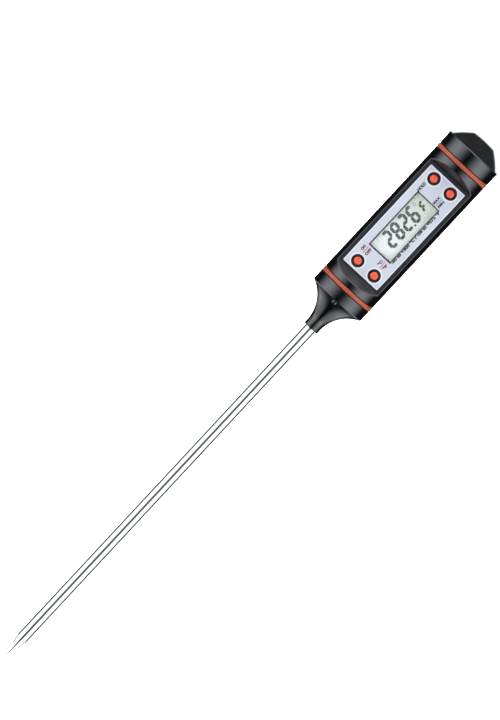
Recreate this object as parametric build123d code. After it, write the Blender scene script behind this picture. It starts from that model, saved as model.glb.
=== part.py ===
from build123d import *
import os
from math import sqrt

# Pen-type digital soil thermometer, in millimetres.
# +Z runs along the axis from the tip up to the battery cap, and the display faces -Y.
# The origin is on the axis, where the probe leaves the nose.

# ---- driving dimensions ----

# probe
probe_length = 153.2          # from the nose to the tip
probe_radius = 2.1
probe_wall = 0.4
point_length = 9.0            # length of the tapered point
point_radius = 0.45           # radius at the blunt end of the point
crimp_width = 0.8             # groove by which the nose holds the probe
crimp_depth = 0.2
sleeve_gap = 0.2              # between the insulating sleeve and the probe
sleeve_wall = 0.3
lead_radius = 0.26
lead_spacing = 0.7            # between the two sensor leads
bead_radius = 0.58
bead_length = 2.2

# handle, from the nose up to the cap
handle_radius = 10.7
handle_wall = 1.6
nose_length = 13.0            # from the nose face to the front shoulder
neck_wall = 0.78              # wall around the probe at the nose face
neck_length = 1.3             # straight part of the nose
nose_side_arc = 12.8          # radius of the hollow flanks, seen from the front
nose_face_arc = 13.4          # radius of the hollow faces, seen from the side
nose_edge = 0.35              # rounding of the nose's long edges
nose_bulge = 0.475            # how far the front bulges, as a share of its half width
edge_inset = 0.64             # how far the long edges lie inside the flanks, at the nose face
edge_spread = 0.19            # and how much more that is for each millimetre of width
nose_band = 4.55              # cylinder from the front shoulder to the front ring
shoulder_round = 0.6
mark_radius = 1.45            # moulding mark on the nose
mark_notch = 1.1
mark_rib = 0.85
mark_rib_length = 1.5
mark_proud = 0.25
ring_space = 1.5              # gap that each coloured ring fills
ring_gap = 0.05
ring_proud = 0.05
housing_length = 55.0
cap_band = 5.15               # cylinder from the rear ring to the rear shoulder
edge_break = 0.25             # chamfer of the edges beside the rings

# display platform on the housing
label_width = 15.5
label_length = 43.4
label_thickness = 0.45
label_sink = 0.05             # how far the label lies below the platform
label_border = 1.45           # platform left showing beside the label
end_border = 1.25             # and beyond its ends
slope_run = 2.4               # length of each sloping end wall along the axis
platform_round = 0.35         # rounding of the platform's edges
rail_grip = 0.4               # rails over the edges of the circuit board
side_space = 0.5              # between the circuit board's edges and the housing
window_width = 9.6
window_length = 24.1
button_offset = 3.75          # of each button from the centre line
button_pitch = 37.5           # between the front and rear pairs
button_radius = 1.3           # at the top
button_draft = 0.08           # how much wider the button is at its foot
button_proud = 0.55
button_edge = 0.4             # rounding of the top
button_ring = 1.0             # black ring showing around each button
button_travel = 0.4

# display stack and circuit board
lens_lip = 0.4                # of the window pane, under the edge of the label
lens_flange = 0.6             # thickness of the flange behind the housing wall
flange_width = 0.85
bezel_width = 0.35            # of the holder, showing inside the window
bezel_thickness = 0.35
glass_thickness = 0.7
glass_margin = 1.05           # of the glass beyond the window
contact_ledge = 1.7           # front glass beyond the rear glass
reflector_thickness = 0.18
strip_width = 1.3
board_gap = 1.55              # from the reflector to the circuit board
board_thickness = 1.0
board_end = 3.5               # board beyond the button centres
switch_size = 4.4
switch_height = 1.5
plunger_radius = 0.8
screw_radius = 0.55
screw_head = 0.8
screw_room = 0.1              # around each screw in the circuit board

# battery end
cell_radius = 5.8
cell_height = 5.4
spring_height = 1.15
spring_wire = 0.3
spring_turns = 1.4
spring_radius = 3.0
plug_length = 5.05            # of the battery holder inside the housing
spigot_length = 4.5           # of the nose inside the housing
thread_pitch = 1.2
thread_depth = 0.5
thread_turns = 2.3
cap_roof = 1.1
blade_height = 5.25           # grip above the rear shoulder
blade_foot = 9.75             # half width of the grip at the shoulder
blade_top = 4.3               # half width where its crown starts
blade_crown = 0.25
blade_bulge = 0.15            # of the sides of the grip
blade_foot_half = 3.5         # half thickness at the shoulder
blade_top_half = 1.75

# clearances
fit = 0.05                    # between pieces that are joined
seat = 0.02                   # between pieces that lie on each other
running = 0.05                # radial, switch plunger in its body
button_clearance = 0.15
thread_clearance = 0.15

# ---- places along the axis ----
neck_radius = probe_radius + neck_wall
shoulder_z = nose_length
front_ring_z = shoulder_z + nose_band
housing_z = front_ring_z + ring_space
housing_end = housing_z + housing_length
cap_z = housing_end + ring_space
cap_shoulder = cap_z + cap_band
display_z = housing_z + housing_length / 2
point_z = -probe_length + point_length
nose_floor = nose_length + 2.0
probe_end = nose_floor + 3.6
sleeve_end = probe_end + 1.5
sleeve_radius = probe_radius - probe_wall - sleeve_gap

# ---- depths, from the platform inwards ----
flat_half = label_width / 2 + label_border
flat_y = -sqrt(handle_radius ** 2 - flat_half ** 2)
label_y = flat_y + label_sink
label_back = label_y + label_thickness
bore_radius = handle_radius - handle_wall
bore_y = flat_y + handle_wall
slope_lean = slope_run / (handle_radius + flat_y)
slope_wall = handle_wall * sqrt(1 + slope_lean ** 2)
lens_back = bore_y + lens_flange
bezel_y = lens_back + fit
front_glass_y = bezel_y + bezel_thickness + seat
rear_glass_y = front_glass_y + glass_thickness
reflector_y = rear_glass_y + glass_thickness
board_y = reflector_y + reflector_thickness + board_gap
board_back = board_y + board_thickness
flange_thickness = 0.6
stem_radius = 1.0
switch_top = board_y - seat - switch_height
plunger_top = switch_top - button_travel - 0.15
button_foot = button_radius + button_draft
button_hole = button_foot + button_clearance
flange_radius = button_hole + 0.7

# ---- widths and lengths inside ----
land_radius = bore_radius - 0.1
lens_half = window_width / 2 + lens_lip
lens_half_length = window_length / 2 + lens_lip
glass_half = window_width / 2 + glass_margin
glass_half_length = window_length / 2 + glass_margin + 0.8
pocket_half = glass_half + 0.1
pocket_half_length = glass_half_length + 0.1
holder_half = sqrt(bore_radius ** 2 - bezel_y ** 2) - side_space
holder_half_length = pocket_half_length + 1.9
board_half = holder_half
board_length = button_pitch + 2 * board_end
board_z = display_z - board_length / 2
board_top = board_z + board_length
screw_x = (pocket_half + holder_half) / 2 - 0.2

# ---- battery end ----
neck_end = cap_shoulder - cap_roof - 0.2
male_crest = land_radius - 0.5
male_root = male_crest - thread_depth
female_root = male_crest + thread_clearance
female_crest = male_root + thread_clearance
thread_z = cap_z + 0.65
cell_top = neck_end - 0.2
cell_z = cell_top - cell_height
cup_floor = cell_z - spring_height
cup_radius = cell_radius + 0.2
plug_z = housing_end - plug_length
strip_thickness = 0.25        # of both battery contacts
strip_half = 1.25             # half width of the positive strip
strip_drop = 1.0              # its end below the cell's top
strip_lip = 0.6
plate_radius = 4.6
tail_half = 1.0
slot_room = 0.1               # around each contact in the holder
tail_drop = 0.45              # contact tails below the battery holder
battery_lead = 0.4
pad_height = 0.5
pad_gap = 0.05                # between a lead's end and its solder joint
battery_pad = 0.8
battery_pad_x = 3.5
battery_pad_z = board_top - 4.5
sensor_pad = 0.7
sensor_pad_x = 1.6
sensor_pad_z = board_z + 2.6


# ---- helpers ----
def rod(radius, low, high):
    """A cylinder on the axis."""
    return Pos(0, 0, low) * extrude(Circle(radius), high - low)


def tube(outer, inner, low, high):
    return Pos(0, 0, low) * extrude(Circle(outer) - Circle(inner), high - low)


def block(x, y, z):
    """A box from its low and high limits on each axis."""
    size = Box(x[1] - x[0], y[1] - y[0], z[1] - z[0])
    return Pos((x[0] + x[1]) / 2, (y[0] + y[1]) / 2, (z[0] + z[1]) / 2) * size


def stud(radius, x, z, low, high):
    """A cylinder along Y, between two depths."""
    face = Plane(origin=(x, low, z), x_dir=(1, 0, 0), z_dir=(0, 1, 0)) * Circle(radius)
    return extrude(face, high - low, dir=(0, 1, 0))


def platform(sink, spread):
    """The space in front of the platform, moved inwards by sink and lengthened by spread."""
    outside = handle_radius + 3
    inner = label_length / 2 + end_border + spread - slope_lean * sink
    outer = inner + slope_lean * (outside + flat_y + sink)
    outline = Polyline((flat_y + sink, display_z - inner), (flat_y + sink, display_z + inner),
                       (-outside, display_z + outer), (-outside, display_z - outer), close=True)
    return extrude(Plane.YZ * make_face(outline), handle_radius + 1, both=True)


def plug(low, high):
    """A cylinder that fits the housing's bore, with room for the platform."""
    return rod(land_radius, low, high) - platform(handle_wall + fit, slope_wall + fit)


def turned(points):
    """A solid of revolution from (radius, z) points."""
    outline = Plane.XZ * make_face(Polyline(*points, close=True))
    return revolve(outline, Axis.Z)


def lead(radius, corners, bend):
    path = FilletPolyline(*corners, radius=bend)
    return sweep(Plane(origin=path @ 0, z_dir=path % 0) * Circle(radius), path=path)


def thread(root, crest, start, turn):
    """One helical ridge; the crest lies inside or outside the root radius."""
    centre = (root + crest) / 2
    path = Helix(thread_pitch, thread_turns * thread_pitch, centre)
    side = 1 if crest > root else -1
    depth = abs(crest - root) / 2
    foot = depth + 0.1
    outline = [(-side * foot, -0.33), (side * depth, -0.12), (side * depth, 0.12), (-side * foot, 0.33)]
    section = Plane(origin=path @ 0, x_dir=(1, 0, 0), z_dir=path % 0)
    ridge = sweep(section * make_face(Polyline(*outline, close=True)), path=path, is_frenet=True)
    return Pos(0, 0, start) * Rot(0, 0, turn) * ridge


# ---- probe ----
tip_bore = 0.25
solid_tip = 2.0
filling_gap = 1.5             # air between the closed tip's bore end and the compound
compound_end = point_z + 1.9


def probe_tube():
    point_bore = probe_radius - probe_wall
    bore_end = -probe_length + solid_tip
    waist = probe_radius - crimp_depth
    outside = [(0, probe_end), (probe_radius, probe_end), (probe_radius, crimp_width), (waist, crimp_width),
               (waist, 0), (probe_radius, 0), (probe_radius, point_z),
               (point_radius + 0.1, -probe_length + 0.3), (point_radius - 0.1, -probe_length),
               (0, -probe_length)]
    inside = [(0, probe_end), (point_bore, probe_end), (point_bore, point_z),
              (tip_bore, bore_end), (0, bore_end)]
    return turned(outside) - turned(inside)


bead_z = point_z - 3.2
leads_z = bead_z + bead_length / 2


def thermistor_bead():
    body = rod(bead_radius, bead_z - bead_length / 2, leads_z)
    return fillet(body.edges().filter_by(GeomType.CIRCLE), bead_radius * 0.6)


def sensor_lead(side):
    x = side * lead_spacing / 2
    y = board_back + lead_radius + seat
    corners = [(x, 0, leads_z + seat), (x, 0, sleeve_end + 0.6), (side * sensor_pad_x, y, board_z - 0.4),
               (side * sensor_pad_x, y, sensor_pad_z)]
    return lead(lead_radius, corners, 2.0)


def insulating_sleeve():
    return tube(sleeve_radius, sleeve_radius - sleeve_wall, compound_end + 0.1, sleeve_end)


def tip_compound():
    """Heat-conducting filling around the bead, up to the sleeve."""
    wall_gap = 0.03
    top_radius = probe_radius - probe_wall - wall_gap
    low = -probe_length + solid_tip + filling_gap
    low_radius = tip_bore + (top_radius - tip_bore) * filling_gap / (point_length - solid_tip) - wall_gap
    filling = turned([(0, low), (low_radius, low), (top_radius, point_z), (top_radius, compound_end),
                      (0, compound_end)])
    filling -= rod(bead_radius + seat, bead_z - bead_length / 2 - seat, leads_z + seat)
    for side in (-1, 1):
        hole = rod(lead_radius + seat, leads_z, point_z + 3.0)
        filling -= Pos(side * lead_spacing / 2, 0, 0) * hole
    return filling


# ---- nose ----
seal_radius = 0.7
collar_radius = probe_radius + 1.7
collar_length = 2.6
potting_end = probe_end + 0.7
spigot_bore = bore_radius - 1.9


def nose_half(arc, z):
    """Half width or depth of the nose: straight at the neck, then a hollow arc."""
    rise = max(0, z - neck_length)
    return neck_radius + arc - sqrt(arc ** 2 - rise ** 2)


def nose_section(z):
    """Bulging front and back between four long edges, and flanks that lean out to a ridge."""
    half_width = nose_half(nose_side_arc, z)
    half_depth = nose_half(nose_face_arc, z)
    edge_x = half_width - edge_inset - edge_spread * (half_width - neck_radius)
    edge_y = half_depth - edge_x * nose_bulge
    front = ThreePointArc((-edge_x, -edge_y), (0, -half_depth), (edge_x, -edge_y))
    right = Polyline((edge_x, -edge_y), (half_width, 0), (edge_x, edge_y))
    back = ThreePointArc((edge_x, edge_y), (0, half_depth), (-edge_x, edge_y))
    left = Polyline((-edge_x, edge_y), (-half_width, 0), (-edge_x, -edge_y))
    face = make_face(Curve() + [front, right, back, left])
    corners = face.vertices().filter_by(lambda corner: abs(corner.Y) > edge_y / 2)
    return Pos(0, 0, z) * fillet(corners, nose_edge)


def nose_cone():
    stations = 10
    horn = loft([nose_section(nose_length * i / stations) for i in range(stations + 1)])
    horn &= rod(handle_radius, 0, nose_length)
    horn = fillet(horn.faces().sort_by(Axis.Z)[0].edges(), 0.25)
    band = rod(handle_radius, shoulder_z, front_ring_z)
    band = fillet(band.edges().group_by(Axis.Z)[0], shoulder_round)
    band = chamfer(band.edges().group_by(Axis.Z)[-1], edge_break)
    body = horn + band
    body += plug(front_ring_z, housing_z + spigot_length)
    # moulding mark in the middle of the front face: a half-round notch with a small rib below it
    notch_z = nose_length - mark_notch
    notch_y = -nose_half(nose_face_arc, notch_z)
    body -= Pos(0, notch_y - 0.7, notch_z) * extrude(Circle(mark_radius), mark_notch)
    rib_area = block((-mark_rib / 2, mark_rib / 2), (-handle_radius, 0), (notch_z - mark_rib_length, notch_z))
    body += Pos(0, -mark_proud, 0) * horn & rib_area
    # bore for the probe, gland for its seal, and the space for collar and filling
    body -= rod(probe_radius + fit, -1, nose_floor + 1)
    body -= rod(probe_radius + 2 * seal_radius, nose_floor - 2 * seal_radius, nose_floor)
    body -= rod(spigot_bore, nose_floor, housing_z + spigot_length + 1)
    return body


def probe_seal():
    ring = Pos(probe_radius + seal_radius, 0) * Circle(seal_radius - seat)
    return Pos(0, 0, nose_floor - seal_radius) * revolve(Plane.XZ * ring, Axis.Z)


def probe_collar():
    collar = tube(collar_radius, probe_radius + seat, nose_floor + seat, nose_floor + collar_length)
    return chamfer(collar.edges().group_by(Axis.Z)[-1], 0.3)


def nose_filling():
    """Sealing compound that fixes the collar and the end of the probe."""
    filling = rod(spigot_bore - seat, nose_floor + seat, potting_end)
    filling -= rod(collar_radius + seat, nose_floor, nose_floor + collar_length + seat)
    filling -= rod(probe_radius + seat, nose_floor, probe_end + seat)
    return filling - rod(sleeve_radius + seat, nose_floor, potting_end + 1)


def seal_ring(low):
    """A coloured ring between two parts of the handle."""
    ring = tube(handle_radius + ring_proud, land_radius + fit, low + ring_gap, low + ring_space - ring_gap)
    outer = ring.edges().filter_by(GeomType.CIRCLE).sort_by(lambda edge: edge.radius)[-2:]
    return fillet(outer, 0.25)


# ---- housing ----
def button_places():
    for z in (display_z - button_pitch / 2, display_z + button_pitch / 2):
        for side in (-1, 1):
            yield side * button_offset, z


def housing():
    body = rod(handle_radius, housing_z, housing_end)
    body = chamfer(body.edges().filter_by(GeomType.CIRCLE), edge_break)
    body -= platform(0, 0)
    edges = body.edges().filter_by_position(Axis.Z, housing_z + 0.5, housing_end - 0.5)
    edges = edges.filter_by(lambda edge: edge.geom_type != GeomType.LINE or edge.length > window_length / 2)
    body = fillet(edges, platform_round)
    body -= rod(bore_radius, housing_z - 1, housing_end + 1) - platform(handle_wall, slope_wall)
    pocket_x = label_width / 2 + fit
    pocket_z = label_length / 2 + fit
    body -= block((-pocket_x, pocket_x), (flat_y - 1, label_back),
                  (display_z - pocket_z, display_z + pocket_z))
    body -= block((-lens_half, lens_half), (flat_y - 1, bore_y + 1),
                  (display_z - lens_half_length, display_z + lens_half_length))
    for x, z in button_places():
        body -= stud(button_hole, x, z, flat_y - 1, bore_y + 1)
    # rails behind the circuit board
    rails = block((-bore_radius, bore_radius), (board_back + fit, board_back + 1.0), (board_z, plug_z - 0.5))
    rails -= block((rail_grip - board_half, board_half - rail_grip), (board_back, bore_radius),
                   (board_z, plug_z))
    return body + (rails & rod(bore_radius + 0.3, board_z, plug_z))


def display_label():
    label = block((-label_width / 2, label_width / 2), (label_y, label_back - seat),
                  (display_z - label_length / 2, display_z + label_length / 2))
    label = fillet(label.edges().filter_by(Axis.Y), 0.3)
    label -= block((-window_width / 2, window_width / 2), (label_y - 1, label_back + 1),
                   (display_z - window_length / 2, display_z + window_length / 2))
    for x, z in button_places():
        label -= stud(button_radius + button_ring, x, z, label_y - 1, label_back + 1)
    return label


def display_window():
    pane_x = lens_half - fit
    pane_z = lens_half_length - fit
    pane = block((-pane_x, pane_x), (label_back, lens_back),
                 (display_z - pane_z, display_z + pane_z))
    flange_x = pane_x + flange_width
    flange_z = pane_z + flange_width
    flange = block((-flange_x, flange_x), (bore_y + seat, lens_back),
                   (display_z - flange_z, display_z + flange_z))
    return pane + flange


# ---- display stack ----
def glass_plate(half_width, half_length, low, thickness):
    return block((-half_width, half_width), (low, low + thickness - seat),
                 (display_z - half_length, display_z + half_length))


def display_holder():
    frame = glass_plate(holder_half, holder_half_length, bezel_y, board_y - bezel_y)
    frame -= block((-pocket_half, pocket_half), (bezel_y + bezel_thickness, board_y + 1),
                   (display_z - pocket_half_length, display_z + pocket_half_length))
    view_x = window_width / 2 - bezel_width
    view_z = window_length / 2 - bezel_width
    frame -= block((-view_x, view_x), (bezel_y - 1, board_y), (display_z - view_z, display_z + view_z))
    for side in (-1, 1):
        frame -= stud(screw_radius + seat, side * screw_x, display_z, board_y - 3.2, board_y + 1)
    return frame


def contact_strip(side):
    """Striped rubber strip that joins the glass to the circuit board."""
    middle = display_z + side * (glass_half_length - contact_ledge / 2)
    return block((-glass_half + 0.2, glass_half - 0.2), (rear_glass_y + seat, board_y - seat),
                 (middle - strip_width / 2, middle + strip_width / 2))


# ---- circuit board ----
def circuit_board():
    board = block((-board_half, board_half), (board_y, board_back), (board_z, board_top))
    board = fillet(board.edges().filter_by(Axis.Y), 0.8)
    for side in (-1, 1):
        board -= stud(screw_radius + screw_room, side * screw_x, display_z, board_y - 1, board_back + 1)
    return board


def board_screws():
    screws = []
    for side in (-1, 1):
        shank = stud(screw_radius, side * screw_x, display_z, board_y - 2.9, board_back + 0.5)
        head = stud(screw_head, side * screw_x, display_z, board_back + seat, board_back + 0.9)
        slot = block((side * screw_x - 1, side * screw_x + 1), (board_back + 0.5, board_back + 2),
                     (display_z - 0.15, display_z + 0.15))
        screws.append(shank + head - slot)
    return Compound(screws)


def switch_bodies():
    bodies = []
    half = switch_size / 2
    for x, z in button_places():
        body = block((x - half, x + half), (switch_top, board_y - seat), (z - half, z + half))
        body = chamfer(body.edges().filter_by(Axis.Y), 0.4)
        bodies.append(body - stud(plunger_radius + running, x, z, switch_top - 1, board_y - 0.2))
    return Compound(bodies)


def switch_plunger(x, z):
    return stud(plunger_radius, x, z, plunger_top, board_y - 0.2 - button_travel - 0.3)


def button(x, z):
    top = label_y - button_proud
    head_length = bore_y + fit - top
    face = Plane(origin=(x, top, z), x_dir=(1, 0, 0), z_dir=(0, 1, 0))
    sections = [face * Circle(button_radius), face.offset(head_length) * Circle(button_foot)]
    head = loft(sections)
    head = fillet(head.edges().filter_by(GeomType.CIRCLE).sort_by(Axis.Y)[0], button_edge)
    flange_y = bore_y + fit
    flange = stud(flange_radius, x, z, flange_y, flange_y + flange_thickness)
    stem = stud(stem_radius, x, z, flange_y + flange_thickness / 2, plunger_top - seat)
    return head + flange + stem


def chip_blob():
    """Black resin drop over the bare chip."""
    spread = 3.4
    height = 1.1
    ball = (spread ** 2 + height ** 2) / (2 * height)
    chip_z = display_z + 2.0
    dome = Pos(0, board_back + height - ball, chip_z) * Sphere(ball)
    return dome & block((-spread, spread), (board_back + seat, board_back + height + 1),
                        (chip_z - spread, chip_z + spread))


def clock_crystal():
    can = Pos(4.6, board_back + 1.0, display_z + 8.0) * extrude(Circle(0.95), 6.0)
    return fillet(can.edges().filter_by(GeomType.CIRCLE), 0.25)


def chip_parts():
    """Small resistors and capacitors in two columns."""
    chips = []
    for column in (-4.5, 4.0):
        for row in range(4):
            z = display_z - 6.0 - 2.6 * row
            chips.append(block((column - 0.8, column + 0.8), (board_back + seat, board_back + 0.5),
                               (z - 0.4, z + 0.4)))
    return Compound(chips)


def solder_joints():
    joints = []
    for side in (-1, 1):
        joints.append(stud(sensor_pad, side * sensor_pad_x, sensor_pad_z + sensor_pad + pad_gap,
                           board_back + seat, board_back + pad_height))
        joints.append(stud(battery_pad, side * battery_pad_x, battery_pad_z - battery_pad - pad_gap,
                           board_back + seat, board_back + pad_height))
    return Compound(joints)


# ---- battery end ----
contact_y = cell_radius + fit
minus_x = -battery_pad_x
minus_y = 2.2


def battery_holder():
    body = plug(plug_z, cap_z - fit)
    body += rod(male_root, cap_z - fit, neck_end)
    body += thread(male_root, male_crest, thread_z, 0)
    body -= rod(cup_radius, cup_floor, neck_end + 1)
    strip_slot = strip_half + slot_room
    tail_slot = tail_half + slot_room
    body -= block((-strip_slot, strip_slot), (contact_y - strip_lip, contact_y + strip_lip + slot_room),
                  (plug_z - 1, cell_top - strip_drop / 2))
    body -= block((minus_x - tail_slot, minus_x + tail_slot),
                  (minus_y - slot_room, minus_y + strip_thickness + slot_room), (plug_z - 1, cup_floor + 1))
    return body


def positive_contact():
    """Springy strip beside the cell, with its tail through the holder's floor."""
    strip = block((-strip_half, strip_half), (contact_y, contact_y + strip_thickness),
                  (plug_z - tail_drop, cell_top - strip_drop))
    lip = block((-strip_half, strip_half), (contact_y, contact_y + strip_lip),
                (cell_top - strip_drop - strip_thickness, cell_top - strip_drop))
    return strip + lip


def negative_plate():
    plate = rod(plate_radius, cup_floor + seat, cup_floor + strip_thickness)
    tail = block((minus_x - tail_half, minus_x + tail_half), (minus_y, minus_y + strip_thickness),
                 (plug_z - tail_drop, cup_floor + strip_thickness))
    return plate + tail


def negative_spring():
    """Flat coil spring that holds the cell against the cap, squeezed almost solid."""
    low = cup_floor + strip_thickness + spring_wire / 2 + seat
    high = cell_z - spring_wire / 2 - seat
    path = Helix((high - low) / spring_turns, high - low, spring_radius)
    section = Plane(origin=path @ 0, z_dir=path % 0) * Circle(spring_wire / 2)
    return Pos(0, 0, low) * sweep(section, path=path, is_frenet=True)


def button_cell():
    can = rod(cell_radius, cell_z + 0.5, cell_top)
    can = fillet(can.edges().group_by(Axis.Z)[-1], 0.3)
    can += rod(cell_radius - 0.4, cell_z + 0.3, cell_z + 0.6)
    cover = rod(cell_radius - 1.2, cell_z, cell_z + 0.4)
    return can + cover


def battery_lead_wire(x, start_x, start_y):
    y = board_back + battery_lead + seat
    start = plug_z - tail_drop - seat
    corners = [(start_x, start_y, start), (start_x, start_y, start - 0.8), (x, y, start - 3.0),
               (x, y, battery_pad_z)]
    return lead(battery_lead, corners, 0.9)


def cap_pad():
    return rod(cell_radius - 0.4, cell_top + fit, cap_shoulder - cap_roof - seat)


def blade_grip():
    """Tapered grip across the end of the cap."""
    foot = cap_shoulder - 0.5
    crown = cap_shoulder + blade_height - blade_crown
    side_x = (blade_foot + blade_top) / 2 + blade_bulge
    side_z = (cap_shoulder + crown) / 2 + blade_bulge
    right = ThreePointArc((blade_foot, cap_shoulder), (side_x, side_z), (blade_top, crown))
    top = ThreePointArc((blade_top, crown), (0, crown + blade_crown), (-blade_top, crown))
    left = ThreePointArc((-blade_top, crown), (-side_x, side_z), (-blade_foot, cap_shoulder))
    base = Polyline((-blade_foot, cap_shoulder), (-blade_foot, foot), (blade_foot, foot),
                    (blade_foot, cap_shoulder))
    front = extrude(Plane.XZ * make_face(Curve() + [right, top, left, base]), 2 * blade_foot_half, both=True)
    height = blade_height + 0.2
    lean = (blade_foot_half - blade_top_half) / blade_height
    low = blade_foot_half + lean * 0.5
    high = blade_foot_half - lean * height
    wedge = Polyline((-low, foot), (low, foot), (high, cap_shoulder + height), (-high, cap_shoulder + height),
                     close=True)
    grip = front & extrude(Plane.YZ * make_face(wedge), blade_foot + 1, both=True)
    upper = grip.edges().filter_by(lambda edge: edge.center().Z > cap_shoulder + 0.3)
    return fillet(upper, 0.35) & rod(handle_radius - 0.3, foot, cap_shoulder + height)


def battery_cap():
    body = rod(handle_radius, cap_z, cap_shoulder)
    body = chamfer(body.edges().group_by(Axis.Z)[0], edge_break)
    body = fillet(body.edges().group_by(Axis.Z)[-1], 0.35)
    body += blade_grip()
    body -= rod(female_root, cap_z - 1, cap_shoulder - cap_roof)
    return body + thread(female_root, female_crest, thread_z, 180)


# ---- all pieces, one file each ----
pieces = {
    "probe_tube": probe_tube(),
    "thermistor_bead": thermistor_bead(),
    "sensor_lead_left": sensor_lead(-1),
    "sensor_lead_right": sensor_lead(1),
    "insulating_sleeve": insulating_sleeve(),
    "tip_compound": tip_compound(),
    "nose_cone": nose_cone(),
    "probe_seal": probe_seal(),
    "probe_collar": probe_collar(),
    "nose_filling": nose_filling(),
    "front_ring": seal_ring(front_ring_z),
    "housing": housing(),
    "display_label": display_label(),
    "display_window": display_window(),
    "display_holder": display_holder(),
    "lcd_front_glass": glass_plate(glass_half, glass_half_length, front_glass_y, glass_thickness),
    "lcd_rear_glass": glass_plate(glass_half, glass_half_length - contact_ledge, rear_glass_y,
                                  glass_thickness),
    "lcd_reflector": glass_plate(glass_half, glass_half_length - contact_ledge, reflector_y,
                                 reflector_thickness),
    "contact_strip_front": contact_strip(-1),
    "contact_strip_rear": contact_strip(1),
    "circuit_board": circuit_board(),
    "board_screws": board_screws(),
    "switch_bodies": switch_bodies(),
    "chip_blob": chip_blob(),
    "clock_crystal": clock_crystal(),
    "chip_parts": chip_parts(),
    "solder_joints": solder_joints(),
    "battery_holder": battery_holder(),
    "positive_contact": positive_contact(),
    "negative_plate": negative_plate(),
    "negative_spring": negative_spring(),
    "button_cell": button_cell(),
    "positive_lead": battery_lead_wire(battery_pad_x, strip_half / 2, contact_y + strip_thickness / 2),
    "negative_lead": battery_lead_wire(minus_x, minus_x, minus_y + strip_thickness / 2),
    "rear_ring": seal_ring(housing_end),
    "battery_cap": battery_cap(),
    "cap_pad": cap_pad(),
}
for name, (x, z) in zip(("power", "unit", "hold", "max_min"), button_places()):
    pieces["button_" + name] = button(x, z)
    pieces["plunger_" + name] = switch_plunger(x, z)

os.makedirs("parts", exist_ok=True)
for name, piece in pieces.items():
    export_step(piece, "parts/" + name + ".step")
    print(name, round(piece.volume, 2))
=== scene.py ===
import math

import bmesh
import bpy
from mathutils import Matrix, Vector


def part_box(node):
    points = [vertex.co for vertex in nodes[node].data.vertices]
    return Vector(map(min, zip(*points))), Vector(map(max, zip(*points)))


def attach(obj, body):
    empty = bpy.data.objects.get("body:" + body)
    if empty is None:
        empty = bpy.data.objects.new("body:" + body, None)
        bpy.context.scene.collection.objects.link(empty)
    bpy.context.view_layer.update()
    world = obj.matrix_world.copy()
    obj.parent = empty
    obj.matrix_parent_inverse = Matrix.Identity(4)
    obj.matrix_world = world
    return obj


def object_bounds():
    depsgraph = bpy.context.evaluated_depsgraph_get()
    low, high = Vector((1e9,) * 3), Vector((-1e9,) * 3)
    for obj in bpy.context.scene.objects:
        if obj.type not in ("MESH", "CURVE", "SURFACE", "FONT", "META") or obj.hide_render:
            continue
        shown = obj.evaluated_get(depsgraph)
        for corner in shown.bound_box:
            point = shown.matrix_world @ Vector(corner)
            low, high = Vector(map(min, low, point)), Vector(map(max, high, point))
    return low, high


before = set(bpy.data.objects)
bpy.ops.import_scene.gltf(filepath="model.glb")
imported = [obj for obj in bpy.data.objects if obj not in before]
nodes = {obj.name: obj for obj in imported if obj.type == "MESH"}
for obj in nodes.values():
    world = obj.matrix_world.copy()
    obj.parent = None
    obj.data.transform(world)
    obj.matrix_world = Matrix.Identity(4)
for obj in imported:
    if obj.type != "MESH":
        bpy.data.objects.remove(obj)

cadLow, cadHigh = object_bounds()
mm = 0.001
print("frame loaded:", len(nodes), "nodes")


# small helpers

def srgb(hexText):
    channels = [int(hexText[i:i + 2], 16) / 255 for i in (0, 2, 4)]
    linear = [c / 12.92 if c <= 0.04045 else ((c + 0.055) / 1.055) ** 2.4 for c in channels]
    return (*linear, 1.0)


def addNode(tree, kind, settings=None, to=None, **inputs):
    # settings are the node's own options; inputs are values or sockets, by input name or "_index";
    # to is a socket for the node's first output to feed
    node = tree.nodes.new(kind)
    for name, value in (settings or {}).items():
        setattr(node, name, value)
    for name, value in inputs.items():
        socket = node.inputs[int(name[1:])] if name[0] == "_" else node.inputs[name.replace("_", " ")]
        if isinstance(value, bpy.types.NodeSocket):
            tree.links.new(value, socket)
        else:
            socket.default_value = value
    if to is not None:
        tree.links.new(node.outputs[0], to)
    return node


def newMaterial(name, colour, **sockets):
    made = bpy.data.materials.new(name)
    made.use_nodes = True
    tree = made.node_tree
    shader = tree.nodes["Principled BSDF"]
    shader.inputs["Base Color"].default_value = srgb(colour)
    for socket, value in sockets.items():
        shader.inputs[socket.replace("_", " ")].default_value = value
    place = addNode(tree, "ShaderNodeTexCoord").outputs["Object"]
    return made, tree, shader, place


def grain(tree, place, size, detail=2.0, stretch=(1, 1, 1)):
    # noise whose blobs are about size metres across, drawn out by stretch
    scaled = addNode(tree, "ShaderNodeMapping", Vector=place, Scale=[1 / s for s in stretch])
    noise = addNode(tree, "ShaderNodeTexNoise", Vector=scaled.outputs[0], Scale=1 / size, Detail=detail)
    return noise.outputs["Fac"]


def vary(tree, target, pattern, low, high):
    # takes a shader's socket from low to high, numbers or hex colours, as a noise pattern rises
    inColour = isinstance(low, str)
    spread = addNode(tree, "ShaderNodeMapRange", Value=pattern, From_Min=0.3, From_Max=0.7,
                     To_Min=0 if inColour else low, To_Max=1 if inColour else high).outputs[0]
    if inColour:
        spread = addNode(tree, "ShaderNodeMix", {"data_type": "RGBA"}, _0=spread, _6=srgb(low),
                         _7=srgb(high)).outputs[2]
    tree.links.new(spread, target)
    return spread


def paint(material, *names):
    for name in names:
        nodes[name].data.materials.clear()
        nodes[name].data.materials.append(material)


# materials that show from outside

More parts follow.
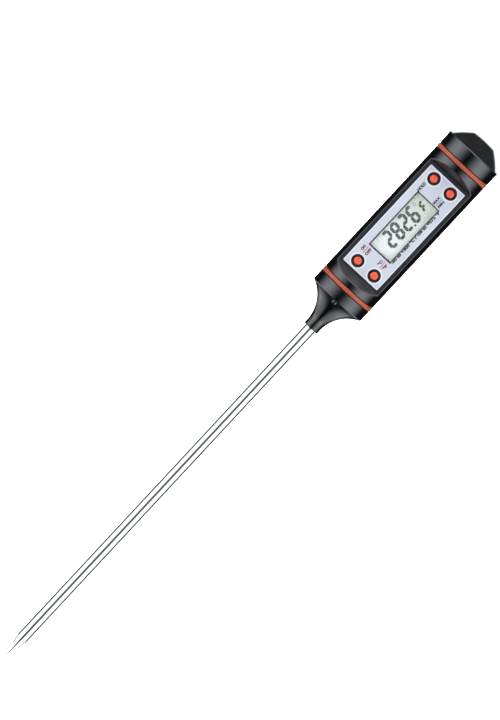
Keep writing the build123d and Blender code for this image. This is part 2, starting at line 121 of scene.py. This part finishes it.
blackFinish = {"deep": "030304", "flow": "070708", "flowSize": 7 * mm, "roughness": (0.15, 0.25),
               "scratchSize": 0.9 * mm, "skinSize": 0.25 * mm, "depth": 0.002 * mm,
               "recessTone": "0b0c0e", "recessRoughness": 0.42, "recessGrain": 0.12 * mm,
               "recessFull": 0.25 * mm, "recessStart": 0.1 * mm}


def glossyBlackAbs(recessed=False):
    # ABS moulded against a polished tool: deep gloss, faint flow marks and fine handling scratches;
    # where recessed, everything sunk below the round of the handle has a fine spark-eroded grain
    f = blackFinish
    made, tree, shader, place = newMaterial("glossyBlackAbs", f["deep"], IOR=1.54, Roughness=0.2)
    flow = grain(tree, place, f["flowSize"], 3, (1, 1, 3))
    scratches = grain(tree, place, f["scratchSize"], 4, (1, 1, 6))
    colour = vary(tree, shader.inputs["Base Color"], flow, f["deep"], f["flow"])
    roughness = vary(tree, shader.inputs["Roughness"], scratches, *f["roughness"])
    height = grain(tree, place, f["skinSize"])
    if recessed:
        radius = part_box("housing")[1].x
        across = addNode(tree, "ShaderNodeVectorMath", {"operation": "MULTIPLY"}, _0=place, _1=(1, 1, 0))
        reach = addNode(tree, "ShaderNodeVectorMath", {"operation": "LENGTH"}, _0=across.outputs[0])
        sunk = addNode(tree, "ShaderNodeMapRange", Value=reach.outputs["Value"],
                       From_Min=radius - f["recessFull"], From_Max=radius - f["recessStart"],
                       To_Min=1, To_Max=0).outputs[0]
        toned = addNode(tree, "ShaderNodeMix", {"data_type": "RGBA"}, _0=sunk, _6=colour,
                        _7=srgb(f["recessTone"]))
        tree.links.new(toned.outputs[2], shader.inputs["Base Color"])
        addNode(tree, "ShaderNodeMix", to=shader.inputs["Roughness"], _0=sunk, _2=roughness,
                _3=f["recessRoughness"])
        height = addNode(tree, "ShaderNodeMix", _0=sunk, _2=height,
                         _3=grain(tree, place, f["recessGrain"])).outputs[0]
    addNode(tree, "ShaderNodeBump", to=shader.inputs["Normal"], Height=height, Distance=f["depth"],
            Strength=0.5)
    return made


steelFinish = {"middle": "c9cacb", "colours": ("bdbec0", "d6d7d8"), "roughness": (0.03, 0.08),
               "lineWidth": 0.12 * mm, "lineStretch": 160, "patch": 2 * mm, "depth": 0.0004 * mm}


def polishedSteel():
    # stainless tube, drawn and polished: mirror bands with fine lines along its length
    f = steelFinish
    made, tree, shader, place = newMaterial("polishedStainless", f["middle"], Metallic=1.0, Roughness=0.06)
    drawn = grain(tree, place, f["lineWidth"], 3, (1, 1, f["lineStretch"]))
    vary(tree, shader.inputs["Base Color"], drawn, *f["colours"])
    vary(tree, shader.inputs["Roughness"], grain(tree, place, f["patch"], 4), *f["roughness"])
    addNode(tree, "ShaderNodeBump", to=shader.inputs["Normal"], Height=drawn, Distance=f["depth"],
            Strength=0.3)
    return made


siliconeFinish = {"middle": "963c22", "colours": ("8f381f", "9d4126"), "cloud": 3 * mm, "skin": 0.15 * mm,
                  "depth": 0.004 * mm}


def redSilicone():
    # silicone ring, moulded: soft satin skin with a faint cloudiness
    f = siliconeFinish
    made, tree, shader, place = newMaterial("redSilicone", f["middle"], IOR=1.43, Roughness=0.55)
    vary(tree, shader.inputs["Base Color"], grain(tree, place, f["cloud"], 3), *f["colours"])
    addNode(tree, "ShaderNodeBump", to=shader.inputs["Normal"], Height=grain(tree, place, f["skin"]),
            Distance=f["depth"], Strength=0.5)
    return made


keycapFinish = {"middle": "d94b2c", "colours": ("d2462a", "de5331"), "roughness": (0.32, 0.48),
                "cloud": 1.2 * mm, "wear": 0.5 * mm, "skin": 0.1 * mm, "depth": 0.003 * mm}


def coralKeycap():
    # coloured ABS key, moulded with a fine satin texture, a little smoother in patches
    f = keycapFinish
    made, tree, shader, place = newMaterial("coralKeycap", f["middle"], IOR=1.54, Roughness=0.4)
    vary(tree, shader.inputs["Base Color"], grain(tree, place, f["cloud"], 3), *f["colours"])
    vary(tree, shader.inputs["Roughness"], grain(tree, place, f["wear"]), *f["roughness"])
    addNode(tree, "ShaderNodeBump", to=shader.inputs["Normal"], Height=grain(tree, place, f["skin"]),
            Distance=f["depth"], Strength=0.5)
    return made


# the border colour is the dark gap round the window pane, with painted shade
labelPrint = {"rim": 0.35 * mm, "hole": 2.3 * mm, "halo": 0.45 * mm, "soft": 0.1 * mm,
              "dark": "acafb5", "light": "b5b8be", "white": "c9cbd0", "cloud": 9 * mm,
              "darkGapAndShade": "101114", "border": 0.15 * mm, "borderSoft": 0.03 * mm, "lip": 1.2 * mm,
              "roughness": (0.28, 0.4)}


def printedLabel():
    # polycarbonate sheet printed on its back: pale lavender ground, white rim and white rings at the holes
    p = labelPrint
    made, tree, shader, place = newMaterial("printedPolycarbonate", p["dark"], IOR=1.58, Roughness=0.34)
    low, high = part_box("display_label")
    middle, half = (low + high) / 2, (high - low) / 2
    centred = addNode(tree, "ShaderNodeMapping", Vector=place, Location=(0, 0, -middle.z))
    away = addNode(tree, "ShaderNodeVectorMath", {"operation": "ABSOLUTE"}, _0=centred.outputs[0]).outputs[0]
    split = addNode(tree, "ShaderNodeSeparateXYZ", Vector=away)

    # white rim along the edge
    fromSide = addNode(tree, "ShaderNodeMath", {"operation": "SUBTRACT"}, _0=half.x, _1=split.outputs[0])
    fromEnd = addNode(tree, "ShaderNodeMath", {"operation": "SUBTRACT"}, _0=half.z, _1=split.outputs[2])
    edge = addNode(tree, "ShaderNodeMath", {"operation": "MINIMUM"}, _0=fromSide.outputs[0],
                   _1=fromEnd.outputs[0])
    rim = addNode(tree, "ShaderNodeMapRange", Value=edge.outputs[0], From_Min=p["rim"] - p["soft"],
                  From_Max=p["rim"] + p["soft"], To_Min=1, To_Max=0)

    # white ring at each hole; folding the sheet in four puts all the holes on one spot
    buttonLow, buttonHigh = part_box("button_max_min")
    button = (buttonLow + buttonHigh) / 2
    flat = addNode(tree, "ShaderNodeVectorMath", {"operation": "MULTIPLY"}, _0=away, _1=(1, 0, 1))
    reach = addNode(tree, "ShaderNodeVectorMath", {"operation": "DISTANCE"}, _0=flat.outputs[0],
                    _1=(button.x, 0, button.z - middle.z))
    ringEdge = p["hole"] + p["halo"]
    halo = addNode(tree, "ShaderNodeMapRange", Value=reach.outputs["Value"],
                   From_Min=ringEdge - 2 * p["soft"], From_Max=ringEdge + 2 * p["soft"], To_Min=1, To_Max=0)
    white = addNode(tree, "ShaderNodeMath", {"operation": "MAXIMUM"}, _0=rim.outputs[0], _1=halo.outputs[0])
    ground = vary(tree, shader.inputs["Base Color"], grain(tree, place, p["cloud"]), p["dark"], p["light"])
    sheet = addNode(tree, "ShaderNodeMix", {"data_type": "RGBA"}, _0=white.outputs[0], _6=ground,
                    _7=srgb(p["white"]))

    # dark border just outside the raised pane of the window: the dark gap at its edge, with painted shade
    # along it
    paneLow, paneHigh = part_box("display_window")
    pane = [(paneHigh[i] - paneLow[i]) / 2 - p["lip"] + p["border"] for i in (0, 2)]
    pastSide = addNode(tree, "ShaderNodeMath", {"operation": "SUBTRACT"}, _0=split.outputs[0], _1=pane[0])
    pastEnd = addNode(tree, "ShaderNodeMath", {"operation": "SUBTRACT"}, _0=split.outputs[2], _1=pane[1])
    past = addNode(tree, "ShaderNodeMath", {"operation": "MAXIMUM"}, _0=pastSide.outputs[0],
                   _1=pastEnd.outputs[0])
    border = addNode(tree, "ShaderNodeMapRange", Value=past.outputs[0], From_Min=-p["borderSoft"],
                     From_Max=p["borderSoft"], To_Min=1, To_Max=0)
    bordered = addNode(tree, "ShaderNodeMix", {"data_type": "RGBA"}, _0=border.outputs[0],
                       _6=sheet.outputs[2], _7=srgb(p["darkGapAndShade"]))
    tree.links.new(bordered.outputs[2], shader.inputs["Base Color"])

    vary(tree, shader.inputs["Roughness"], grain(tree, place, 0.3 * mm), *p["roughness"])
    addNode(tree, "ShaderNodeBump", to=shader.inputs["Normal"], Height=grain(tree, place, 0.08 * mm),
            Distance=0.002 * mm, Strength=0.4)
    return made


def clearWindow():
    # moulded acrylic: clear, polished on both faces
    made, tree, shader, place = newMaterial("clearAcrylic", "f7faf9", IOR=1.49, Roughness=0.02,
                                            Transmission_Weight=1.0)
    vary(tree, shader.inputs["Roughness"], grain(tree, place, 4 * mm), 0.01, 0.035)
    return made


panelFinish = {"middle": "d0d6cb", "litNoseEnd": "e4e2e2", "capEnd": "c9cfc0", "margin": 3 * mm,
               "cloud": 5 * mm, "cloudiness": 0.2, "skin": 0.05 * mm}


def displayFace():
    # reflective liquid crystal panel behind a polariser: grey-green, with painted light making it paler
    # towards the nose
    f = panelFinish
    made, tree, shader, place = newMaterial("liquidCrystalPanel", f["middle"], IOR=1.5, Roughness=0.3)
    low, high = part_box("display_window")
    along = addNode(tree, "ShaderNodeSeparateXYZ", Vector=place).outputs[2]
    # painted light: the panel fades to a paler, greyer tone towards the nose
    fade = addNode(tree, "ShaderNodeMapRange", Value=along, From_Min=low.z + f["margin"],
                   From_Max=high.z - f["margin"])
    cloud = addNode(tree, "ShaderNodeMath", {"operation": "MULTIPLY_ADD"}, _0=grain(tree, place, f["cloud"]),
                    _1=f["cloudiness"], _2=fade.outputs[0])
    face = addNode(tree, "ShaderNodeMix", {"data_type": "RGBA"}, _0=cloud.outputs[0], _6=srgb(f["litNoseEnd"]),
                   _7=srgb(f["capEnd"]))
    tree.links.new(face.outputs[2], shader.inputs["Base Color"])
    addNode(tree, "ShaderNodeBump", to=shader.inputs["Normal"], Height=grain(tree, place, f["skin"]),
            Distance=0.001 * mm, Strength=0.5)
    return made


def mouldedPlain(name, dark, light, roughness, grainSize=0.2, ior=1.54, raised=0.004):
    # any plain moulded or cast piece: slight tone change and a fine skin, its sizes in mm
    made, tree, shader, place = newMaterial(name, light, IOR=ior, Roughness=roughness)
    vary(tree, shader.inputs["Base Color"], grain(tree, place, 2.5 * mm, 3), dark, light)
    vary(tree, shader.inputs["Roughness"], grain(tree, place, 0.6 * mm), roughness - 0.06, roughness + 0.06)
    addNode(tree, "ShaderNodeBump", to=shader.inputs["Normal"], Height=grain(tree, place, grainSize * mm),
            Distance=raised * mm, Strength=0.6)
    return made


def plainMetal(name, dark, light, roughness, stretch=(1, 1, 1)):
    # small metal parts, rolled, turned or plated
    made, tree, shader, place = newMaterial(name, light, Metallic=1.0, Roughness=roughness)
    marks = grain(tree, place, 0.3 * mm, 4, stretch)
    vary(tree, shader.inputs["Base Color"], marks, dark, light)
    vary(tree, shader.inputs["Roughness"], marks, roughness - 0.05, roughness + 0.08)
    addNode(tree, "ShaderNodeBump", to=shader.inputs["Normal"], Height=marks, Distance=0.002 * mm,
            Strength=0.5)
    return made


def stripedRubber():
    # conductive and insulating silicone layers, stacked across the strip
    made, tree, shader, place = newMaterial("stripedSilicone", "6a6c70", IOR=1.43, Roughness=0.55)
    across = addNode(tree, "ShaderNodeSeparateXYZ", Vector=place).outputs[0]
    layer = 0.36 * mm        # real layers are 0.05 mm, drawn coarser so that they show
    turns = addNode(tree, "ShaderNodeMath", {"operation": "MULTIPLY"}, _0=across, _1=2 * math.pi / layer)
    wave = addNode(tree, "ShaderNodeMath", {"operation": "SINE"}, _0=turns.outputs[0])
    stripe = addNode(tree, "ShaderNodeMapRange", Value=wave.outputs[0], From_Min=-0.3, From_Max=0.3)
    layers = addNode(tree, "ShaderNodeMix", {"data_type": "RGBA"}, _0=stripe.outputs[0], _6=srgb("17181a"),
                     _7=srgb("b9b2a8"))
    tree.links.new(layers.outputs[2], shader.inputs["Base Color"])
    return made


def solderMask():
    # glass-fibre laminate under green solder mask: copper areas that show through
    made, tree, shader, place = newMaterial("greenSolderMask", "0f5a34", IOR=1.5, Roughness=0.3)
    tracks = addNode(tree, "ShaderNodeTexVoronoi", {"distance": "CHEBYCHEV", "feature": "F1"},
                     Vector=place, Scale=1 / (1.8 * mm))
    lines = addNode(tree, "ShaderNodeMapRange", Value=tracks.outputs["Distance"], From_Min=0.42,
                    From_Max=0.46)
    board = addNode(tree, "ShaderNodeMix", {"data_type": "RGBA"}, _0=lines.outputs[0], _6=srgb("0c4a2a"),
                    _7=srgb("187244"))
    tree.links.new(board.outputs[2], shader.inputs["Base Color"])
    addNode(tree, "ShaderNodeBump", to=shader.inputs["Normal"], Height=lines.outputs[0], Distance=0.02 * mm,
            Strength=0.6)
    return made


allButtons = ("power", "unit", "hold", "max_min")
blackAbs = glossyBlackAbs()
steel = polishedSteel()
redRing = redSilicone()
coral = coralKeycap()
labelSheet = printedLabel()
acrylic = clearWindow()
panel = displayFace()
frameAbs = mouldedPlain("satinBlackAbs", "08090a", "121315", 0.45)
paint(blackAbs, "nose_cone", "battery_cap")
paint(glossyBlackAbs(recessed=True), "housing")
paint(steel, "probe_tube")
paint(redRing, "front_ring", "rear_ring")
paint(coral, *("button_" + button for button in allButtons))
paint(labelSheet, "display_label")
paint(acrylic, "display_window")
paint(panel, "lcd_front_glass", "lcd_rear_glass")
paint(frameAbs, "display_holder", "switch_bodies", "battery_holder")
nodes["display_window"].visible_shadow = False        # light reaches the panel straight through the window
print("outer materials ready")

# materials inside
paint(mouldedPlain("resinCoatedBead", "0a0a0b", "1a1a1d", 0.2), "thermistor_bead")
paint(mouldedPlain("whiteFluoropolymerWire", "d8d6cf", "e9e7e1", 0.35), "sensor_lead_left",
      "sensor_lead_right")
paint(mouldedPlain("milkyFluoropolymerSleeve", "dedad0", "ebe8e0", 0.4), "insulating_sleeve")
paint(mouldedPlain("curedGreyCompound", "7c7e80", "919395", 0.6, 0.4, 1.5, 0.02), "tip_compound",
      "nose_filling")
paint(mouldedPlain("blackNitrileRubber", "0c0c0d", "161617", 0.55, 0.15, 1.52), "probe_seal")
paint(mouldedPlain("aluminisedFilm", "a9b2a8", "bcc4ba", 0.35), "lcd_reflector")
paint(mouldedPlain("blackResinDrop", "070708", "111113", 0.18), "chip_blob")
paint(mouldedPlain("firedChipCeramic", "6b5a48", "8a765f", 0.5), "chip_parts")
paint(mouldedPlain("redVinylWire", "8f1812", "a8231b", 0.4), "positive_lead")
paint(mouldedPlain("blackVinylWire", "0b0b0c", "17171a", 0.4), "negative_lead")
paint(mouldedPlain("blackFoam", "121213", "1e1e20", 0.85, 0.12, 1.5, 0.05), "cap_pad")
paint(mouldedPlain("ivoryAcetal", "d9cfb9", "e6ddc9", 0.4), *("plunger_" + button for button in allButtons))
paint(plainMetal("turnedBrass", "a8843e", "c39c4e", 0.28, (1, 1, 0.15)), "probe_collar")
paint(plainMetal("zincPlatedSteel", "a9abae", "c2c4c6", 0.3), "board_screws", "clock_crystal")
paint(plainMetal("solderAlloy", "9fa1a3", "bfc1c2", 0.25), "solder_joints")
paint(plainMetal("nickelSpringStrip", "b3ae9f", "cdc8ba", 0.22, (1, 1, 8)), "positive_contact",
      "negative_plate", "negative_spring")
paint(plainMetal("nickelPlatedCan", "b4b5b6", "cfd0d0", 0.2), "button_cell")
paint(stripedRubber(), "contact_strip_front", "contact_strip_rear")
paint(solderMask(), "circuit_board")
print("inner materials ready")


# display digits and legends; the text reads along +Z with its top towards -X

def readingMatrix(along, across, face):
    # text x runs along +Z, text y towards -X, and text z out of the display
    turn = Matrix(((0, -1, 0), (0, 0, -1), (1, 0, 0))).to_4x4()
    return Matrix.Translation((across, face, along)) @ turn


def meshPiece(name, mesh, matrix, material, body="root"):
    mesh.transform(matrix)
    piece = bpy.data.objects.new(name, mesh)
    bpy.context.scene.collection.objects.link(piece)
    piece.data.materials.clear()
    piece.data.materials.append(material)
    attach(piece, body)
    return piece


def ink(name, colour, roughness):
    # printing ink: dense and even, with slightly broken edges of tone
    made, tree, shader, place = newMaterial(name, colour, IOR=1.5, Roughness=roughness)
    spread = grain(tree, place, 0.25 * mm, 3)
    paler = "%02x%02x%02x" % tuple(min(255, int(colour[i:i + 2], 16) + 14) for i in (0, 2, 4))
    vary(tree, shader.inputs["Base Color"], spread, colour, paler)
    addNode(tree, "ShaderNodeBump", to=shader.inputs["Normal"], Height=spread, Distance=0.002 * mm,
            Strength=0.3)
    return made


# point and degree are given across, along and as a radius, in mm
displayDigits = {
    "height": 6.6 * mm, "width": 3.3 * mm, "stroke": 1.08 * mm, "gap": 0.06 * mm, "pitch": 3.8 * mm,
    "slant": 6.0, "thickness": 0.03 * mm, "clear": 0.01 * mm, "base": 2.5 * mm, "first": 38.35 * mm,
    "reading": "2826", "unitHeight": 4.2 * mm, "unitWidth": 2.3 * mm, "unitStroke": 0.918 * mm,
    "unitStart": 54.75 * mm, "unitBase": 2.0 * mm,
    "point": (2.3, 49.55, 0.4), "degree": (-2.7, 54.55, 0.62), "degreeHole": 0.55,
}
segmentsOf = {"2": "abged", "8": "abcdefg", "6": "acdefg", "F": "aefg"}


def addSegment(mesh, middle, length, stroke, upright):
    # a bar with pointed ends, as wide as the stroke
    place = Matrix.Translation(middle) @ Matrix.Rotation(math.pi / 2 if upright else 0, 4, "Z")
    sideways = Matrix.Rotation(math.pi / 2, 4, "Z")
    bar = bmesh.ops.create_circle(mesh, cap_ends=True, segments=6, radius=1, matrix=place @ sideways)["verts"]
    for vert in bar:
        spot = place.inverted() @ vert.co
        pointed = abs(spot.y) < 0.1
        endwise = length / 2 if pointed else length / 2 - stroke / 2
        sidewise = 0 if pointed else math.copysign(stroke / 2, spot.y)
        vert.co = place @ Vector((math.copysign(endwise, spot.x), sidewise, 0))


def addDigit(mesh, sign, left, width, height, stroke, gap):
    half = height / 2
    inset = stroke / 2
    flat = width - stroke - gap
    tall = half - stroke / 2 - gap
    places = {
        "a": (width / 2, height - inset, flat, False), "g": (width / 2, half, flat, False),
        "d": (width / 2, inset, flat, False), "f": (inset, half * 1.5 - inset / 2, tall, True),
        "b": (width - inset, half * 1.5 - inset / 2, tall, True),
        "e": (inset, half / 2 + inset / 2, tall, True),
        "c": (width - inset, half / 2 + inset / 2, tall, True),
    }
    for letter in segmentsOf[sign]:
        x, y, length, upright = places[letter]
        addSegment(mesh, Vector((left + x, y, 0)), length, stroke, upright)


def finishFlat(mesh, name, thickness):
    # gives flat print its thickness, outwards
    whole = bmesh.ops.extrude_face_region(mesh, geom=mesh.faces[:])
    raised = [v for v in whole["geom"] if isinstance(v, bmesh.types.BMVert)]
    bmesh.ops.translate(mesh, verts=raised, vec=(0, 0, thickness))
    bmesh.ops.recalc_face_normals(mesh, faces=mesh.faces)
    made = bpy.data.meshes.new(name)
    mesh.to_mesh(made)
    mesh.free()
    return made


def makeDigits():
    d = displayDigits
    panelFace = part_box("lcd_front_glass")[0].y
    segmentInk = ink("liquidCrystalSegment", "08090b", 0.4)
    slant = Matrix.Identity(4)
    slant[0][1] = math.tan(math.radians(d["slant"]))
    mesh = bmesh.new()
    for i, sign in enumerate(d["reading"]):
        addDigit(mesh, sign, i * d["pitch"], d["width"], d["height"], d["stroke"], d["gap"])
    bmesh.ops.transform(mesh, matrix=slant, verts=mesh.verts)
    face = panelFace - d["clear"]
    meshPiece("display_digits", finishFlat(mesh, "display_digits", d["thickness"]),
              readingMatrix(d["first"], d["base"], face), segmentInk)
    mesh = bmesh.new()
    addDigit(mesh, "F", 0, d["unitWidth"], d["unitHeight"], d["unitStroke"], d["gap"])
    bmesh.ops.transform(mesh, matrix=slant, verts=mesh.verts)
    meshPiece("display_unit_letter", finishFlat(mesh, "display_unit_letter", d["thickness"]),
              readingMatrix(d["unitStart"], d["unitBase"], face), segmentInk)
    across, along, radius = d["point"]
    mesh = bmesh.new()
    bmesh.ops.create_circle(mesh, cap_ends=True, segments=24, radius=radius * mm)
    meshPiece("display_point", finishFlat(mesh, "display_point", d["thickness"]),
              readingMatrix(along * mm, across * mm, face), segmentInk)
    across, along, radius = d["degree"]
    mesh = bmesh.new()
    bmesh.ops.create_circle(mesh, segments=24, radius=radius * mm)
    bmesh.ops.create_circle(mesh, segments=24, radius=radius * d["degreeHole"] * mm)
    bmesh.ops.bridge_loops(mesh, edges=mesh.edges[:])
    meshPiece("display_degree", finishFlat(mesh, "display_degree", d["thickness"]),
              readingMatrix(along * mm, across * mm, face), ink("fadedSegment", "8b9489", 0.4))
    print("display reading made")


# each legend: name, words, where its foot and its top lie across, and where it starts and ends along;
# each bar: name, where it lies across, where it starts along, its length, and its ink; all in mm
legends = {
    "thickness": 0.02 * mm, "bold": 0.13, "barWidth": 0.16 * mm, "clear": 0.005 * mm,
    "inks": {"dark": "14151b", "red": "6d1f29"},
    "dark": [("legend_hold", "HOLD", -4.4, -5.6, 58.75, 62.35), ("legend_max", "MAX", 2.3, 1.4, 58.95, 62.2),
             ("legend_min", "MIN", 4.3, 3.4, 59.2, 61.95),
             ("legend_range", "-50 to +300 °C / -58 to +572 °F", 5.75, 4.6, 34.8, 58.2)],
    "red": [("legend_on", "ON", -4.9, -6.0, 31.4, 33.35), ("legend_off", "OFF", -2.65, -3.75, 31.0, 33.75),
            ("legend_c", "°C", 2.75, 1.65, 31.3, 33.5), ("legend_f", "°F", 4.95, 3.85, 31.35, 33.45)],
    "bars": [("legend_bar_power", -4.35, 30.95, 2.85, "red"), ("legend_bar_unit", 3.3, 31.0, 2.85, "red"),
             ("legend_bar_max_min", 2.85, 58.95, 3.3, "dark")],
}


def makeLegends():
    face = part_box("display_label")[0].y - legends["clear"]
    inks = {shade: ink(shade + "Print", colour, 0.45) for shade, colour in legends["inks"].items()}
    for shade in inks:
        for name, words, foot, top, start, end in legends[shade]:
            curve = bpy.data.curves.new(name, "FONT")
            curve.body = words
            curve.offset = legends["bold"] / 2
            curve.resolution_u = 3
            holder = bpy.data.objects.new(name + "_curve", curve)
            bpy.context.scene.collection.objects.link(holder)
            bpy.context.view_layer.update()
            flat = bpy.data.meshes.new_from_object(holder)
            bpy.data.objects.remove(holder)
            mesh = bmesh.new()
            mesh.from_mesh(flat)
            wide = [vert.co.x for vert in mesh.verts]
            tall = [vert.co.y for vert in mesh.verts]
            stretch = Matrix.Diagonal(((end - start) * mm / (max(wide) - min(wide)),
                                       (foot - top) * mm / (max(tall) - min(tall)), 1, 1))
            bmesh.ops.translate(mesh, verts=mesh.verts, vec=(-min(wide), -min(tall), 0))
            bmesh.ops.transform(mesh, matrix=stretch, verts=mesh.verts)
            meshPiece(name, finishFlat(mesh, name, legends["thickness"]),
                      readingMatrix(start * mm, foot * mm, face), inks[shade])
    for name, across, along, length, shade in legends["bars"]:
        mesh = bmesh.new()
        addSegment(mesh, Vector((length / 2 * mm, 0, 0)), length * mm, legends["barWidth"], False)
        meshPiece(name, finishFlat(mesh, name, legends["thickness"]),
                  readingMatrix(along * mm, across * mm, face), inks[shade])
    print("legends made")


makeDigits()
makeLegends()


# camera, floor and light

camera = {"azimuth": 0.8, "elevation": 5.0, "roll": 42.91, "distance": 1.5, "lens": 221.86,
          "aim": (0, 0, -33 * mm), "sideways": -7.63 * mm, "upwards": 11.07 * mm}


def makeCamera():
    c = camera
    azimuth, elevation, roll = (math.radians(c[key]) for key in ("azimuth", "elevation", "roll"))
    back = Vector((math.sin(azimuth) * math.cos(elevation), -math.cos(azimuth) * math.cos(elevation),
                   math.sin(elevation)))
    right = Vector((math.cos(azimuth), math.sin(azimuth), 0))
    up = back.cross(right)
    data = bpy.data.cameras.new("studioCamera")
    data.lens = c["lens"]
    data.clip_start, data.clip_end = 0.05, 100
    eye = bpy.data.objects.new("studioCamera", data)
    bpy.context.scene.collection.objects.link(eye)
    rolledRight = right * math.cos(roll) + up * math.sin(roll)
    rolledUp = up * math.cos(roll) - right * math.sin(roll)
    turn = Matrix((rolledRight, rolledUp, back)).transposed().to_4x4()
    spot = Vector(c["aim"]) + back * c["distance"] + right * c["sideways"] + up * c["upwards"]
    eye.matrix_world = Matrix.Translation(spot) @ turn
    bpy.context.scene.camera = eye


# the side boxes lie boxMiddle radians round from the front, boxHalf wide each way, and fade out between
# the two heights of boxTop; overhead, glow and underside are a strength, then the heights where each
# starts and is full
studio = {"colour": "f4f8ff", "base": 0.02, "boxStrength": 4.3, "boxMiddle": 0.995, "boxHalf": 0.96,
          "boxTop": (0.35, 0.6), "overhead": (4.5, 0.62, 0.97), "glow": (0.3, 0.15, 0.45),
          "underside": (2.4, -0.2, -0.6), "undersideGap": (0.12, 0.55)}


def makeWorld():
    # a soft box on each side, a bright ceiling and a pale floor bounce, on white
    s = studio
    world = bpy.data.worlds.new("studio")
    world.use_nodes = True
    tree = world.node_tree
    tree.nodes.clear()
    smooth = {"interpolation_type": "SMOOTHSTEP"}
    way = addNode(tree, "ShaderNodeTexCoord").outputs["Generated"]
    x, y, z = addNode(tree, "ShaderNodeSeparateXYZ", Vector=way).outputs

    # the boxes, by how far round and how high a direction is
    ahead = addNode(tree, "ShaderNodeMath", {"operation": "MULTIPLY"}, _0=y, _1=-1.0)
    around = addNode(tree, "ShaderNodeMath", {"operation": "ARCTAN2"}, _0=x, _1=ahead.outputs[0])
    aside = addNode(tree, "ShaderNodeMath", {"operation": "ABSOLUTE"}, _0=around.outputs[0])
    offset = addNode(tree, "ShaderNodeMath", {"operation": "SUBTRACT"}, _0=aside.outputs[0],
                     _1=s["boxMiddle"])
    fromBox = addNode(tree, "ShaderNodeMath", {"operation": "ABSOLUTE"}, _0=offset.outputs[0])
    wide = addNode(tree, "ShaderNodeMapRange", smooth, Value=fromBox.outputs[0], From_Min=0.0,
                   From_Max=s["boxHalf"], To_Min=1.0, To_Max=0.0)
    level = addNode(tree, "ShaderNodeMath", {"operation": "ABSOLUTE"}, _0=z)
    tall = addNode(tree, "ShaderNodeMapRange", smooth, Value=level.outputs[0], From_Min=s["boxTop"][0],
                   From_Max=s["boxTop"][1], To_Min=1.0, To_Max=0.0)
    box = addNode(tree, "ShaderNodeMath", {"operation": "MULTIPLY"}, _0=wide.outputs[0], _1=tall.outputs[0])
    sides = addNode(tree, "ShaderNodeMath", {"operation": "MULTIPLY_ADD"}, _0=box.outputs[0],
                    _1=s["boxStrength"], _2=s["base"])

    # the light from above and below
    byHeight = {}
    for part in ("overhead", "glow", "underside"):
        strength, start, full = s[part]
        byHeight[part] = addNode(tree, "ShaderNodeMapRange", smooth, Value=z, From_Min=start, From_Max=full,
                                 To_Min=0.0, To_Max=strength).outputs[0]
    above = addNode(tree, "ShaderNodeMath", {"operation": "ADD"}, _0=byHeight["overhead"],
                    _1=byHeight["glow"])
    sideways = addNode(tree, "ShaderNodeMath", {"operation": "ABSOLUTE"}, _0=x)
    apart = addNode(tree, "ShaderNodeMapRange", smooth, Value=sideways.outputs[0],
                    From_Min=s["undersideGap"][0], From_Max=s["undersideGap"][1])
    ends = addNode(tree, "ShaderNodeMath", {"operation": "MULTIPLY_ADD"}, _0=byHeight["underside"],
                   _1=apart.outputs[0], _2=above.outputs[0])
    whole = addNode(tree, "ShaderNodeMath", {"operation": "ADD"}, _0=sides.outputs[0], _1=ends.outputs[0])

    lit = addNode(tree, "ShaderNodeBackground", Color=srgb(s["colour"]), Strength=whole.outputs[0])
    plain = addNode(tree, "ShaderNodeBackground", Color=(1, 1, 1, 1), Strength=1.0)
    seen = addNode(tree, "ShaderNodeLightPath").outputs["Is Camera Ray"]
    both = addNode(tree, "ShaderNodeMixShader", _0=seen, _1=lit.outputs[0], _2=plain.outputs[0])
    addNode(tree, "ShaderNodeOutputWorld", Surface=both.outputs[0])
    bpy.context.scene.world = world


def makeFloor():
    # a wide pale sheet under the point, bright enough to read as white
    mesh = bmesh.new()
    bmesh.ops.create_grid(mesh, x_segments=8, y_segments=8, size=12,
                          matrix=Matrix.Translation((0, 0, cadLow.z - 0.5 * mm)))
    data = bpy.data.meshes.new("floor")
    mesh.to_mesh(data)
    mesh.free()
    floor = bpy.data.objects.new("floor", data)
    bpy.context.scene.collection.objects.link(floor)
    made, tree, shader, place = newMaterial("paleFloor", "f2f2f2", Roughness=0.9, Emission_Strength=1.0)
    shader.inputs["Emission Color"].default_value = (1, 1, 1, 1)
    data.materials.append(made)
    floor.visible_glossy = False
    floor.visible_diffuse = False


makeCamera()
makeWorld()
makeFloor()
bpy.context.scene.view_settings.view_transform = "Standard"
print("camera, light and floor ready")
